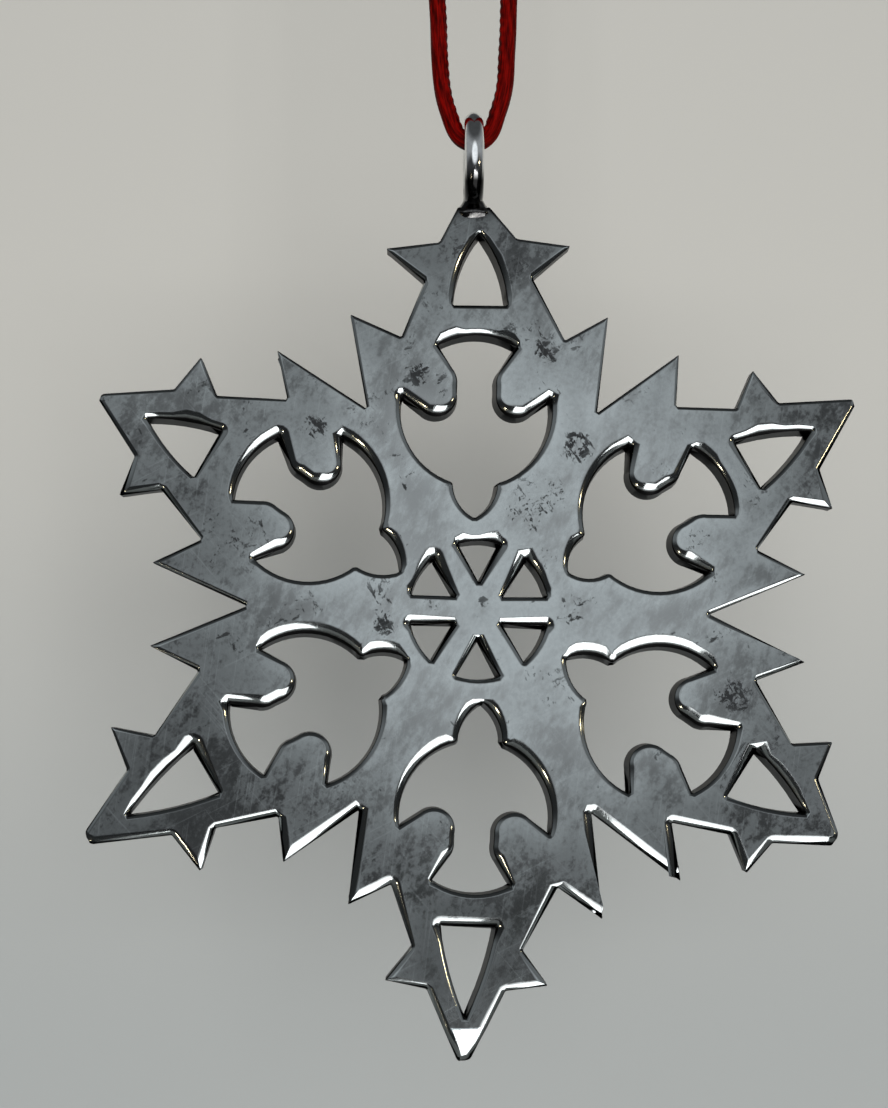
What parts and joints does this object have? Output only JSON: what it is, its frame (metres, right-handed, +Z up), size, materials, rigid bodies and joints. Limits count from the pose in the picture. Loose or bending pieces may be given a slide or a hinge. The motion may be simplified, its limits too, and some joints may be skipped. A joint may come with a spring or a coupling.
{
  "type": "snowflake ornament",
  "caption": "Flat pierced metal snowflake with fleur openings, polished silver finish, hung by a soldered wire ring from a knotted loop of red satin cord.",
  "frame": {"origin": "where the two strands of the cord loop meet under the knot, the point that hangs on a hook or twig", "axes": "+Z up along the hanging cord, the plate's front faces -Y and +X is to its right seen from the front"},
  "size_m": [0.0669, 0.0084, 0.1404],
  "materials": {
    "silver_plate": "polished silver plate with light tarnish and fine scratches",
    "silver_wire": "polished silver-plated wire",
    "solder": "dark tarnished solder",
    "red_cord": "red satin cord"
  },
  "bodies": {
    "cord": {"hanging_cord": "red_cord", "cord_knot": "red_cord", "cord_tails": "red_cord"},
    "ornament": {"snowflake_plate": "silver_plate", "hanging_ring": "silver_wire", "ring_solder": "solder"}
  },
  "joints": [
    {"name": "ring_swing", "type": "hinge", "parent": "cord", "child": "ornament", "pos_m": [0, 0, -0.0497], "axis": [1, 0, 0], "range_deg": [-90, 90]}
  ]
}
